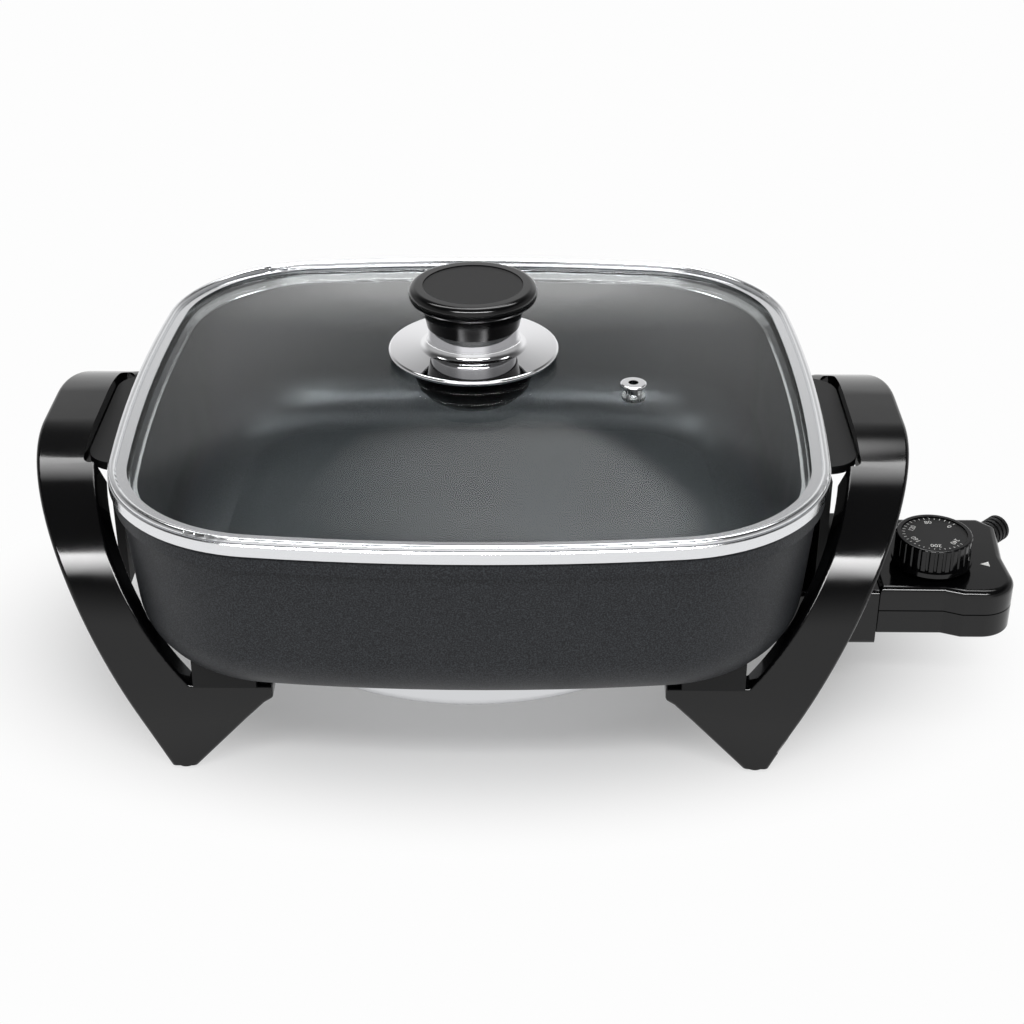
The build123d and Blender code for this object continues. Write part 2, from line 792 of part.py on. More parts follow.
def knob_flange():
    """Polished pressed flange: a collar under the knob's neck that spreads into a wide disc."""
    collar_low = shoulder_height - collar_height
    edge_low = flange_height - flange_sheet
    inner_collar = collar_radius - flange_sheet
    hole = knob_stem_radius + bush_gap
    flat_top = flange_height + flange_crown
    sweep_mid = ((collar_radius + flange_flat_radius) / 2 - flange_sheet, (flat_top * 2 + collar_low) / 3)
    top_arc = ThreePointArc(
        (collar_radius, 0, collar_low), (sweep_mid[0], 0, sweep_mid[1]), (flange_flat_radius, 0, flat_top))
    low_arc = ThreePointArc(
        (flange_flat_radius - flange_sheet / 2, 0, flat_top - flange_sheet),
        (sweep_mid[0] - flange_sheet, 0, sweep_mid[1] - flange_sheet),
        (inner_collar, 0, collar_low))
    shoulder_under = shoulder_height - flange_sheet
    upper = Polyline(
        (hole, 0, shoulder_under), (hole, 0, shoulder_height), (collar_radius, 0, shoulder_height),
        (collar_radius, 0, collar_low))
    roll_radius = flange_radius - flange_sheet
    roll_low = edge_low - flange_sheet
    crown = Line((flange_flat_radius, 0, flat_top), (roll_radius, 0, flange_height))
    roll = ThreePointArc(
        (roll_radius, 0, flange_height), (flange_radius, 0, edge_low), (roll_radius, 0, roll_low))
    inside = Polyline(
        (roll_radius, 0, roll_low), (roll_radius, 0, edge_low),
        (flange_flat_radius - flange_sheet / 2, 0, flat_top - flange_sheet))
    under = Polyline(
        (inner_collar, 0, collar_low), (inner_collar, 0, shoulder_under), (hole, 0, shoulder_under))
    profile = make_face([*upper.edges(), top_arc, crown, roll, *inside.edges(), low_arc, *under.edges()])
    return revolve(profile, Axis.Z, full_turn)


def knob_bush():
    """Spacer that carries the flange on the gasket."""
    top = shoulder_height - flange_sheet
    return tube(bush_radius, knob_stem_radius + bush_gap, (0, 0, gasket_top), (0, 0, top))


def knob_gasket():
    """Silicone ring between the spacer and the glass."""
    return tube(gasket_radius, knob_screw_radius + bush_gap, (0, 0, glass_top), (0, 0, gasket_top))


def knob_seat():
    """Moulded cup under the glass that the knob's screw pulls up."""
    low = glass_under - seat_depth
    middle = (seat_radius - (seat_radius - seat_bottom_radius) / 4, 0, glass_under - seat_depth * 2 / 3)
    side = ThreePointArc((seat_radius, 0, glass_under - seat_depth / 3), middle, (seat_bottom_radius, 0, low))
    pocket = low + seat_pocket_depth
    hole = knob_screw_radius + bush_gap
    top = Polyline((hole, 0, pocket), (hole, 0, glass_under), (seat_radius, 0, glass_under),
                   (seat_radius, 0, glass_under - seat_depth / 3))
    base = Polyline((seat_bottom_radius, 0, low), (seat_pocket_radius, 0, low), (seat_pocket_radius, 0, pocket),
                    (hole, 0, pocket))
    return revolve(make_face([*top.edges(), side, *base.edges()]), Axis.Z, full_turn)


def knob_washer():
    """Steel washer in the cup's pocket."""
    seat = glass_under - seat_depth + seat_pocket_depth
    return tube(washer_radius, knob_screw_radius + bush_gap, (0, 0, seat - washer_thickness), (0, 0, seat))


def knob_screw():
    """Machine screw from the cup up into the knob's insert."""
    head_top = glass_under - seat_depth + seat_pocket_depth - washer_thickness
    head = rod(knob_head_radius, (0, 0, head_top - knob_head_height), (0, 0, head_top))
    return head + rod(knob_screw_radius - thread_gap, (0, 0, head_top), (0, 0, shoulder_height + insert_length / 3))


def dome_height(x, y):
    """Height of the glass's upper face over a point, read from the solid."""
    probe = rod(thread_gap, (x, y, glass_bottom), (x, y, glass_top + overrun))
    return (dome(glass_inset, glass_edge_top) & probe).bounding_box().max.Z


def vent_eyelet():
    """Rolled steel eyelet through the glass."""
    top = dome_height(vent_x, vent_y)
    low = top - glass_thickness - vent_washer_height - vent_slope_gap
    flange_base = top + vent_slope_gap
    flange = rod(vent_flange_radius, (vent_x, vent_y, flange_base), (vent_x, vent_y, flange_base + vent_flange_height))
    flange = fillet(flange.edges().sort_by(Axis.Z)[-1], vent_flange_height / 2)
    body = flange + rod(vent_tube_radius, (vent_x, vent_y, low), (vent_x, vent_y, flange_base))
    return body - rod(vent_bore_radius, (vent_x, vent_y, 0), (vent_x, vent_y, cap_top))


def vent_washer():
    """Steel ring that the eyelet is rolled over under the glass."""
    top = dome_height(vent_x, vent_y) - glass_thickness - vent_slope_gap
    return tube(
        vent_washer_radius, vent_tube_radius + thread_gap, (vent_x, vent_y, top - vent_washer_height),
        (vent_x, vent_y, top))


def control_plan(height):
    """Plan of the control's housing: straight flanks, a bulged head and a cut corner for the gland."""
    points = [
        (control_start + control_length * along, control_y + control_width * across, height)
        for along, across in control_plan_shares]
    radii = [control_nose_round, control_step_round, control_step_round, control_head_round,
             control_waist_round, control_tail_round, control_tail_round, control_nose_round]
    return make_face(FilletPolyline(*points, radius=radii, close=True))


def nose_spans(margin):
    """Y and Z spans of the nose, drawn in by a margin from the shroud's opening and the housing's front."""
    flanks = [control_y + control_width * across for along, across in control_plan_shares if along == 0]
    y_low = max(shroud_front + shroud_wall, min(flanks))
    y_high = min(shroud_back - shroud_wall, max(flanks))
    y_span = (y_low + margin, y_high - margin)
    z_span = (shroud_bottom + shroud_floor + margin, shroud_top - shroud_wall - margin)
    return y_span, z_span


def control_solid(shrink):
    """Whole outside of the control: housing and nose, drawn in by a wall."""
    low = control_bottom + shrink
    face = control_plan(low)
    if shrink:
        face = offset(face, -shrink)
    body = extrude(face, control_top - shrink - low)
    if not shrink:
        body = fillet(body.faces().sort_by(Axis.Z)[-1].edges(), control_top_round)
        body = fillet(body.faces().sort_by(Axis.Z)[0].edges(), control_bottom_round)
    y_span, z_span = nose_spans(nose_margin + shrink)
    nose = block((control_start - nose_length + shrink, control_start + control_length / 4), y_span, z_span)
    return body + fillet(nose.edges().filter_by(Axis.X), nose_round)


def control_screw_places():
    """Where the three housing screws stand."""
    return [(control_start + control_length * along, control_y + control_width * across)
            for along, across in control_screw_shares]


def gland_base():
    """Point on the cut corner where the gland leaves the housing, with its direction."""
    corners = [control_plan_shares[index] for index in (5, 6)]
    x = control_start + control_length * (corners[0][0] + corners[1][0]) / 2
    y = control_y + control_width * (corners[0][1] + corners[1][1]) / 2
    run = Vector(1, 0, 0).rotate(Axis.Z, gland_angle)
    return Vector(x, y, control_parting + gland_flange_radius / 2), run


def gland_hole():
    """Round opening in the housing's corner for the gland."""
    base, run = gland_base()
    start = base - run * (control_wall * 2 + gland_flange_thickness)
    end = base + run * gland_length
    return rod(gland_radius + thread_gap, start, end)


def nose_holes():
    """Openings in the nose for the two pins and the probe."""
    start = control_start - nose_length - overrun
    end = control_start - nose_length + control_wall + overrun
    holes = [rod(pin_radius + nose_pin_gap, (start, y, plug_height), (end, y, plug_height)) for y in plug_lines()]
    holes.append(rod(probe_collar_radius + thread_gap, (start, plug_y, plug_height), (end, plug_y, plug_height)))
    return holes


def seam_groove():
    """Shallow groove round the housing where its two halves meet."""
    plan = control_plan(control_parting - control_seam_height / 2)
    return extrude(plan, control_seam_height) - extrude(offset(plan, -control_seam_depth), control_seam_height)


def control_shell():
    """Hollow housing before it is split at the parting line."""
    body = control_solid(0) - control_solid(control_wall) - seam_groove()
    for hole in nose_holes():
        body -= hole
    body -= rod(bush_collar_radius - bush_wall, (dial_x, dial_y, control_top - 2 * control_wall), (
        dial_x, dial_y, control_top + overrun))
    for x, y in control_screw_places():
        body += rod(control_post_radius, (x, y, control_bottom + control_wall / 2), (
            x, y, control_top - control_wall / 2))
        body -= rod(control_screw_radius, (x, y, control_bottom - overrun), (x, y, control_top - 2 * control_wall))
        seat = control_bottom + control_screw_head_height
        body -= rod(control_screw_head_radius, (x, y, control_bottom - overrun), (x, y, seat))
    return body - gland_hole()


def half_space(low, high):
    """Slab that covers the control between two heights."""
    return block((control_start - 2 * nose_length, control_start + 2 * control_length), (
        control_y - control_width, control_y + control_width), (low, high))


def control_top_shell():
    """Upper half of the housing."""
    return control_shell() & half_space(control_parting, control_top + overrun)


def control_base_shell():
    """Lower half of the housing."""
    return control_shell() & half_space(control_bottom - overrun, control_parting)


def control_screws():
    """Three screws from below that close the housing."""
    screws = []
    for x, y in control_screw_places():
        seat = control_bottom + control_screw_head_height
        head = rod(control_screw_head_radius - thread_gap, (x, y, control_bottom), (x, y, seat))
        top = control_top - 3 * control_wall
        screws.append(head + rod(control_screw_radius - thread_gap, (x, y, seat), (x, y, top)))
    return Compound(children=screws)


def probe_stem():
    """Heat probe: a long steel tube with a rounded tip."""
    end = control_start - nose_length + probe_collar_length
    stem = rod(probe_radius, (probe_tip, plug_y, plug_height), (end, plug_y, plug_height))
    return fillet(stem.edges().sort_by(Axis.X)[0], probe_radius * probe_tip_share)


def probe_collar():
    """Collar that holds the probe in the nose."""
    start = control_start - nose_length
    return tube(probe_collar_radius, probe_radius + thread_gap, (start, plug_y, plug_height), (
        start + probe_collar_length, plug_y, plug_height))


def terminal_clips():
    """Two sprung contact sleeves that take the pins, each with a flat tail."""
    clips = []
    bore = pin_radius + clip_gap
    for y in plug_lines():
        start = control_start - nose_length + control_wall + overrun
        end = start + clip_length
        sleeve = tube(bore + clip_wall, bore, (start, y, plug_height), (end, y, plug_height))
        tail = block((end, end + clip_tail_length), (y - bore, y + bore), (
            plug_height - clip_tail_thickness / 2, plug_height + clip_tail_thickness / 2))
        plate = rod(bore + clip_wall, (end, y, plug_height), (end + clip_wall, y, plug_height))
        clips.append(sleeve + plate + tail)
    return Compound(children=clips)


def frame_x():
    """Start of the thermostat's frame inside the housing."""
    return control_start - nose_length + probe_collar_length


def thermostat_frame():
    """Steel strip that carries the switch, fixed behind the probe's collar."""
    start = frame_x()
    upright = block((start, start + frame_thickness), (plug_y - frame_width / 2, plug_y + frame_width / 2), (
        plug_height - probe_collar_radius, plug_height + probe_collar_radius))
    bottom = plug_height - probe_collar_radius
    strip = block((start, start + frame_length), (plug_y - frame_width / 2, plug_y + frame_width / 2), (
        bottom - frame_thickness, bottom))
    return upright + strip


def insulator_stack():
    """Ceramic stack that spaces the two switch blades."""
    start = frame_x() + frame_thickness
    low = plug_height - probe_collar_radius
    return block((start, start + stack_length), (plug_y - frame_width / 2, plug_y + frame_width / 2), (
        low, low + stack_height))


def blade_height():
    """Underside of the upper blade."""
    return plug_height - probe_collar_radius + stack_height


def switch_blade():
    """Sprung blade on top of the stack, under the dial's spindle."""
    start = frame_x() + frame_thickness
    end = frame_x() + frame_length
    low = blade_height()
    return block((start, end), (plug_y - blade_width / 2, plug_y + blade_width / 2), (low, low + blade_thickness))


def contact_points():
    """Silver contact on the strip and its partner under the blade."""
    x = frame_x() + frame_length - contact_radius * 2
    low = plug_height - probe_collar_radius
    fixed = rod(contact_radius, (x, plug_y, low), (x, plug_y, low + stack_height - 2 * contact_height))
    moving = rod(contact_radius, (x, plug_y, blade_height() - contact_height), (x, plug_y, blade_height()))
    return Compound(children=[fixed, moving])


def spindle_bush():
    """Brass bush in the housing's top, with a flange above, in which the dial's spindle turns."""
    bore = spindle_radius + spindle_gap
    low = control_top - control_wall - bush_nut_thickness
    body = tube(bush_collar_radius - bush_wall - thread_gap, bore, (dial_x, dial_y, low), (dial_x, dial_y, control_top))
    top = control_top + bush_collar_thickness
    return body + tube(bush_collar_radius, bore, (dial_x, dial_y, control_top), (dial_x, dial_y, top))


def spindle_nut():
    """Thin nut under the housing's top that holds the bush."""
    top = control_top - control_wall
    inner = bush_collar_radius - bush_wall
    return tube(bush_collar_radius + bush_wall, inner, (dial_x, dial_y, top - bush_nut_thickness), (
        dial_x, dial_y, top))


def dial_knob():
    """Fluted dial with a recessed face and a skirt ring round its foot."""
    body = rod(dial_radius, (dial_x, dial_y, dial_base), (dial_x, dial_y, dial_top))
    body = fillet(body.edges().sort_by(Axis.Z)[-1], dial_edge_round)
    skirt_top = dial_base + dial_skirt_height
    groove = dial_radius + dial_flute_radius * (1 - dial_flute_bite_share)
    flutes = [
        Rot(0, 0, full_turn * index / dial_flutes) * Pos(groove, 0, (skirt_top + dial_top) / 2)
        * Cylinder(dial_flute_radius, dial_top - skirt_top)
        for index in range(dial_flutes)]
    body -= [Pos(dial_x, dial_y, 0) * flute for flute in flutes]
    body += rod(dial_skirt_radius, (dial_x, dial_y, dial_base), (dial_x, dial_y, skirt_top))
    recess = dial_top - dial_face_recess - dial_face_thickness
    body -= rod(dial_face_radius, (dial_x, dial_y, recess), (dial_x, dial_y, dial_top + overrun))
    return body - rod(spindle_radius, (dial_x, dial_y, dial_base - overrun), (dial_x, dial_y, dial_base + spindle_bite))


def dial_face():
    """Printed disc set into the top of the dial."""
    low = dial_top - dial_face_recess - dial_face_thickness
    return rod(dial_face_radius - knob_inlay_gap, (dial_x, dial_y, low), (dial_x, dial_y, low + dial_face_thickness))


def dial_spindle():
    """Spindle pressed into the dial, whose foot presses on the switch blade."""
    low = blade_height() + blade_thickness + spindle_foot_gap
    return rod(spindle_radius, (dial_x, dial_y, low), (dial_x, dial_y, dial_base + spindle_bite))


def cord_gland():
    """Ribbed rubber gland at the housing's back corner, with the cord's bore through it."""
    base, run = gland_base()
    inner = base - run * (control_wall + gland_flange_thickness)
    body = rod(gland_radius, inner, base + run * gland_length)
    pitch = gland_length / gland_ribs
    for index in range(gland_ribs):
        start = base + run * (pitch * (index + 1 - gland_rib_share))
        body += rod(gland_radius + gland_rib_rise, start, start + run * (pitch * gland_rib_share))
    return body - rod(gland_bore_radius, inner - run * overrun, base + run * (gland_length + overrun))


def cord_clamp():
    """Small bar inside the housing that grips the cord behind the gland."""
    base, run = gland_base()
    centre = base - run * (control_wall + gland_flange_thickness + clamp_length)
    low = control_bottom + control_wall
    return Pos(centre.X, centre.Y, low + clamp_height / 2) * Rot(0, 0, gland_angle) * Box(
        clamp_length, clamp_width, clamp_height)


pieces = {
    "pan_body": pan_body(),
    "heater_plate": heater_plate(),
    "heater_tube": heater_tube(),
    "heater_screws": heater_screws(),
    "contact_pins": contact_pins(),
    "pin_insulators": pin_insulators(),
    "probe_sleeve": probe_sleeve(),
    "inlet_shroud": inlet_shroud(),
    "inlet_screws": inlet_screws(),
    "right_stand": stand(),
    "left_stand": left_of(stand()),
    "stand_spacers": stand_spacers(),
    "stand_screws": stand_screws(),
    "rubber_feet": rubber_feet(),
    "right_guard": guard(),
    "left_guard": left_of(guard()),
    "guard_screws": guard_screws(),
    "lid_rim": lid_rim(),
    "lid_glass": lid_glass(),
    "knob_grip": knob_grip(),
    "knob_inlay": knob_inlay(),
    "knob_insert": knob_insert(),
    "knob_flange": knob_flange(),
    "knob_bush": knob_bush(),
    "knob_gasket": knob_gasket(),
    "knob_seat": knob_seat(),
    "knob_washer": knob_washer(),
    "knob_screw": knob_screw(),
    "vent_eyelet": vent_eyelet(),
    "vent_washer": vent_washer(),
    "control_top_shell": control_top_shell(),
    "control_base_shell": control_base_shell(),
    "control_screws": control_screws(),
    "probe_stem": probe_stem(),
    "probe_collar": probe_collar(),
    "terminal_clips": terminal_clips(),
    "thermostat_frame": thermostat_frame(),
    "insulator_stack": insulator_stack(),
    "switch_blade": switch_blade(),
    "contact_points": contact_points(),
    "spindle_bush": spindle_bush(),
    "spindle_nut": spindle_nut(),
    "cord_gland": cord_gland(),
    "cord_clamp": cord_clamp(),
    "dial_knob": dial_knob(),
    "dial_face": dial_face(),
    "dial_spindle": dial_spindle(),
}

os.makedirs("parts", exist_ok=True)
for name, shape in pieces.items():
    export_step(shape, f"parts/{name}.step")
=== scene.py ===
# Electric grill pan: the looks of every piece, laid over its solids in one frame.
# Metres. The origin is on the table under the pan's middle, +Z is up and +X points to the heat control.
import json
import math

import bmesh
import bpy
from mathutils import Matrix, Vector

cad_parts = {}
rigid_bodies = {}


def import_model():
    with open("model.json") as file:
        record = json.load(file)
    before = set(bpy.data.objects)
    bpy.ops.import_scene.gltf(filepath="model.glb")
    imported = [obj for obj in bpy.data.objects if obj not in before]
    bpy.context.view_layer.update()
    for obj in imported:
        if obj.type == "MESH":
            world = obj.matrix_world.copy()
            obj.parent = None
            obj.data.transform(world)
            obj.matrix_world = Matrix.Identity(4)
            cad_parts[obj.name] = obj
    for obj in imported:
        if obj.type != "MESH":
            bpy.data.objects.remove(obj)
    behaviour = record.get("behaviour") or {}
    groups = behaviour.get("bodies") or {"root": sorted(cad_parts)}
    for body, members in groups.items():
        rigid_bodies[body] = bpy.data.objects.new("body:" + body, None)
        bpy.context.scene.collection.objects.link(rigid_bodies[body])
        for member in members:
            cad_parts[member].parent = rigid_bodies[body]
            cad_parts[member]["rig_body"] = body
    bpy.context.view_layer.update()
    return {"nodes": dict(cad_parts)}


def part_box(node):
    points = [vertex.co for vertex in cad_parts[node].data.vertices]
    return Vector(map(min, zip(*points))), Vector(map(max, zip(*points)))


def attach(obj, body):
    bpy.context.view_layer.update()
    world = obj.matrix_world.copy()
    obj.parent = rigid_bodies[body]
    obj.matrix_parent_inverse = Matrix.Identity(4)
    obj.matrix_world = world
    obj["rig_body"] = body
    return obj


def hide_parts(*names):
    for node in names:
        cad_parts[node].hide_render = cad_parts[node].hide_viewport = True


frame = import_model()
nodes = frame["nodes"]
scene = bpy.context.scene
scene.view_settings.view_transform = "Standard"

# Camera: a short telephoto a good arm's length from the pan, looking down at it across the front edge.
# It stands almost square to the pan, turned a touch to the left.
camera_place = (0.02673, -0.80296, 0.53021)
camera_tilt = math.radians(29.811)
camera_turn = 0.0111
camera_data = bpy.data.cameras.new("camera")
camera_data.sensor_width = 36
camera_data.lens = 66.78
camera = bpy.data.objects.new("camera", camera_data)
camera.location = camera_place
camera.rotation_euler = (math.pi / 2 - camera_tilt, 0, camera_turn)
scene.collection.objects.link(camera)
scene.camera = camera


# Studio: a white paper sweep under and behind the pan, with a dim ceiling between two soft boxes.
# Dark flags stand at both sides, and a small soft lamp hangs high at the back.
# The paper shows white to the lens, and to metal and glass, and keeps the pan's own shadow.
def linear(code):
    """An sRGB hex colour as linear red, green, blue and alpha."""
    shares = [int(code[start:start + 2], 16) / 255 for start in (1, 3, 5)]
    return [c / 12.92 if c <= 0.04045 else ((c + 0.055) / 1.055) ** 2.4 for c in shares] + [1]


def add(tree, kind, inputs=None, **settings):
    """Adds a node with its settings; each input is a plain value or another node's output."""
    node = tree.nodes.new(kind)
    for name, value in settings.items():
        setattr(node, name, value)
    for name, value in (inputs or {}).items():
        if isinstance(value, bpy.types.NodeSocket):
            tree.links.new(value, node.inputs[name])
        else:
            node.inputs[name].default_value = value
    return node


def emptied(holder):
    """The node tree of a material or world, with nothing in it yet."""
    holder.use_nodes = True
    holder.node_tree.nodes.clear()
    return holder.node_tree


def seen_directly(tree):
    """1 on rays from the lens, from a mirror and through glass, and 0 on the rays that carry soft light."""
    path = add(tree, "ShaderNodeLightPath")
    mirrored = add(tree, "ShaderNodeMath", {
        0: path.outputs["Is Camera Ray"], 1: path.outputs["Is Glossy Ray"]}, operation="MAXIMUM")
    seen = add(tree, "ShaderNodeMath", {
        0: mirrored.outputs[0], 1: path.outputs["Is Transmission Ray"]}, operation="MAXIMUM")
    return seen.outputs[0]


paper = linear("#fdfdfd")
fill_level = 0.30
ceiling_level = 0.12
ceiling_rise_low = 0.28
ceiling_rise_high = 0.68
flag_near = 0.35
flag_far = 0.75
flag_level = 0.45
glow_way = (0.044, 0.618, 0.785)
glow_spread = math.radians(12)
glow_level = 5
world = bpy.data.worlds.new("studio")
scene.world = world
tree = emptied(world)
way = add(tree, "ShaderNodeTexCoord").outputs["Generated"]
parts = add(tree, "ShaderNodeSeparateXYZ", {0: way})
shade = add(tree, "ShaderNodeMapRange", {
    "Value": parts.outputs["Z"], "From Min": ceiling_rise_low, "From Max": ceiling_rise_high, "To Min": 1,
    "To Max": ceiling_level}, interpolation_type="SMOOTHSTEP")
aside = add(tree, "ShaderNodeMath", {0: parts.outputs["X"]}, operation="ABSOLUTE")
flags = add(tree, "ShaderNodeMapRange", {
    "Value": aside.outputs[0], "From Min": flag_near, "From Max": flag_far, "To Min": 1,
    "To Max": flag_level}, interpolation_type="SMOOTHSTEP")
flagged = add(tree, "ShaderNodeMath", {0: shade.outputs[0], 1: flags.outputs[0]}, operation="MULTIPLY")
nearness = add(tree, "ShaderNodeVectorMath", {0: way, 1: glow_way}, operation="DOT_PRODUCT")
glow = add(tree, "ShaderNodeMapRange", {
    "Value": nearness.outputs["Value"], "From Min": math.cos(glow_spread), "From Max": 1, "To Min": 0,
    "To Max": glow_level}, interpolation_type="SMOOTHSTEP")
seen = add(tree, "ShaderNodeMath", {0: flagged.outputs[0], 1: glow.outputs[0]}, operation="ADD")
backdrop = add(tree, "ShaderNodeBackground", {"Color": paper, "Strength": seen.outputs[0]})
fill = add(tree, "ShaderNodeBackground", {"Color": paper, "Strength": fill_level})
both = add(tree, "ShaderNodeMixShader", {
    0: seen_directly(tree), 1: fill.outputs[0], 2: backdrop.outputs[0]})
add(tree, "ShaderNodeOutputWorld", {"Surface": both.outputs[0]})

floor_reach = 4
shadow_slim = 0.6
shadow_near = 0.085
shadow_far = 0.175
shadow_share = 0.75
floor_mesh = bpy.data.meshes.new("paper_floor")
floor_mesh.from_pydata(
    [(-floor_reach, -floor_reach, 0), (floor_reach, -floor_reach, 0), (floor_reach, floor_reach, 0),
     (-floor_reach, floor_reach, 0)], [], [(0, 1, 2, 3)])
floor_paper = bpy.data.materials.new("white_paper")
tree = emptied(floor_paper)
spot = add(tree, "ShaderNodeTexCoord").outputs["Object"]
oval = add(tree, "ShaderNodeMapping", {"Vector": spot, "Scale": (shadow_slim, 1, 1)})
reach = add(tree, "ShaderNodeVectorMath", {0: oval.outputs[0]}, operation="LENGTH").outputs["Value"]
whiteness = add(tree, "ShaderNodeMapRange", {
    "Value": reach, "From Min": shadow_near, "From Max": shadow_far, "To Min": 1 - shadow_share,
    "To Max": 1}, interpolation_type="SMOOTHSTEP")
share = add(tree, "ShaderNodeMath", {0: whiteness.outputs[0], 1: seen_directly(tree)}, operation="MULTIPLY")
matt = add(tree, "ShaderNodeBsdfDiffuse", {"Color": linear("#f6f6f6")})
white = add(tree, "ShaderNodeEmission", {"Color": paper, "Strength": 1})
mixed = add(tree, "ShaderNodeMixShader", {0: share.outputs[0], 1: matt.outputs[0], 2: white.outputs[0]})
add(tree, "ShaderNodeOutputMaterial", {"Surface": mixed.outputs[0]})
floor_mesh.materials.append(floor_paper)
floor = bpy.data.objects.new("paper_floor", floor_mesh)
scene.collection.objects.link(floor)


def soft_box(name, half_width, bright_y, dark_y, height, level, mirror_gain):
    """A level panel of light that fades across and towards its ends, and looks brighter in a gloss."""
    end_fade = 0.6
    mesh = bpy.data.meshes.new(name)
    mesh.from_pydata(
        [(-half_width, dark_y, height), (half_width, dark_y, height), (half_width, bright_y, height),
         (-half_width, bright_y, height)], [], [(0, 1, 2, 3)])
    glowing = bpy.data.materials.new(name)
    tree = emptied(glowing)
    place = add(tree, "ShaderNodeTexCoord").outputs["Object"]
    parts = add(tree, "ShaderNodeSeparateXYZ", {0: place})
    fade = add(tree, "ShaderNodeMapRange", {
        "Value": parts.outputs["Y"], "From Min": dark_y, "From Max": bright_y, "To Min": 0, "To Max": level})
    along = add(tree, "ShaderNodeMath", {0: parts.outputs["X"]}, operation="ABSOLUTE")
    ends = add(tree, "ShaderNodeMapRange", {
        "Value": along.outputs[0], "From Min": end_fade * half_width, "From Max": half_width, "To Min": 1,
        "To Max": 0}, interpolation_type="SMOOTHSTEP")
    panel = add(tree, "ShaderNodeMath", {0: fade.outputs[0], 1: ends.outputs[0]}, operation="MULTIPLY")
    path = add(tree, "ShaderNodeLightPath")
    gain = add(tree, "ShaderNodeMapRange", {
        "Value": path.outputs["Is Glossy Ray"], "From Min": 0, "From Max": 1, "To Min": 1,
        "To Max": mirror_gain})
    strength = add(tree, "ShaderNodeMath", {0: panel.outputs[0], 1: gain.outputs[0]}, operation="MULTIPLY")
    light = add(tree, "ShaderNodeEmission", {"Color": paper, "Strength": strength.outputs[0]})
    add(tree, "ShaderNodeOutputMaterial", {"Surface": light.outputs[0]})
    mesh.materials.append(glowing)
    box = bpy.data.objects.new(name, mesh)
    box.visible_camera = False
    scene.collection.objects.link(box)


box_half = 0.9
box_height = 1.2
soft_box("front_soft_box", box_half, bright_y=-0.80, dark_y=-1.22, height=box_height, level=11, mirror_gain=3)
soft_box("back_soft_box", box_half, bright_y=0.50, dark_y=0.12, height=box_height, level=9, mirror_gain=1.3)


# Pan: one aluminium die casting, with a charcoal non-stick coat sprayed on its inside and a darker enamel
# baked on its outside.
# The inside coat's lighter, more metallic ground is painted light for the brighter light that the upturned
# inside catches. Both coats are satin with a fine metallic fleck.
# The lip and the floor's low step keep their cast edges.
def skin(node, material, sharp_angle=32):
    """A smooth-shaded copy of a solid's mesh that stands for the solid and rides on its body."""
    seam = 1e-6
    mesh = nodes[node].data.copy()
    for spare in [layer.name for layer in mesh.attributes if layer.name == "custom_normal"]:
        mesh.attributes.remove(mesh.attributes[spare])
    form = bmesh.new()
    form.from_mesh(mesh)
    bmesh.ops.remove_doubles(form, verts=form.verts, dist=seam)
    form.to_mesh(mesh)
    form.free()
    mesh.shade_smooth()
    mesh.set_sharp_from_angle(angle=math.radians(sharp_angle))
    mesh.materials.clear()
    mesh.materials.append(material)
    piece = bpy.data.objects.new(node + "_skin", mesh)
    scene.collection.objects.link(piece)
    piece.modifiers.new("even_shading", "WEIGHTED_NORMAL").keep_sharp = True
    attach(piece, nodes[node]["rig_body"])
    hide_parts(node)
    return piece


# The flecks of the real coats are about 0.2 mm across; they are drawn at 0.6 mm so that they show.
fleck_size = 0.0006
cloud_size = 0.030


def flecked_coat(name, ground, fleck, metallic, sheen_low, sheen_high):
    """A sprayed coat: a dark ground with a soft, fine metallic fleck and slow changes of sheen."""
    coat = bpy.data.materials.new(name)
    tree = emptied(coat)
    place = add(tree, "ShaderNodeTexCoord").outputs["Object"]
    flecks = add(tree, "ShaderNodeTexNoise", {
        "Vector": place, "Scale": 1 / fleck_size, "Detail": 2, "Roughness": 0.6})
    bright = add(tree, "ShaderNodeMapRange", {
        "Value": flecks.outputs["Fac"], "From Min": 0.40, "From Max": 0.72, "To Min": 0, "To Max": 1})
    clouds = add(tree, "ShaderNodeTexNoise", {"Vector": place, "Scale": 1 / cloud_size, "Detail": 2})
    tone = add(tree, "ShaderNodeMix", {
        "Factor": bright.outputs[0], 6: linear(ground), 7: linear(fleck)}, data_type="RGBA")
    satin = add(tree, "ShaderNodeMapRange", {
        "Value": clouds.outputs["Fac"], "From Min": 0.3, "From Max": 0.7, "To Min": sheen_low,
        "To Max": sheen_high})
    grit = add(tree, "ShaderNodeBump", {
        "Height": flecks.outputs["Fac"], "Strength": 0.12, "Distance": 0.00005})
    body = add(tree, "ShaderNodeBsdfPrincipled", {
        "Base Color": tone.outputs[2], "Roughness": satin.outputs[0], "Metallic": metallic,
        "Specular IOR Level": 0.3, "Normal": grit.outputs[0]})
    add(tree, "ShaderNodeOutputMaterial", {"Surface": body.outputs[0]})
    return coat


enamel = flecked_coat(
    "charcoal_baked_enamel", "#1e1f22", "#404347", metallic=0.25, sheen_low=0.42, sheen_high=0.50)
# The inside coat's lighter ground and extra metal are painted light for the light falling into the pan.
non_stick_painted_light = flecked_coat(
    "charcoal_non_stick_coat_painted_light", "#36393c", "#494c50", metallic=0.6, sheen_low=0.35, sheen_high=0.41)
pan = skin("pan_body", enamel)
pan.data.materials.append(non_stick_painted_light)
lip_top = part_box("pan_body")[1].z
lip_band = 0.0012
lowest_tilt = -0.2
outward_slack = 0.1
# Faces inside the pan and below the lip get the lighter inside coat, which is painted light on the upturned
# inside.
for face in pan.data.polygons:
    middle = face.center
    outwardness = face.normal.to_2d().dot(middle.to_2d())
    inside = outwardness <= outward_slack * middle.to_2d().length
    if inside and face.normal.z > lowest_tilt and middle.z < lip_top - lip_band:
        face.material_index = 1

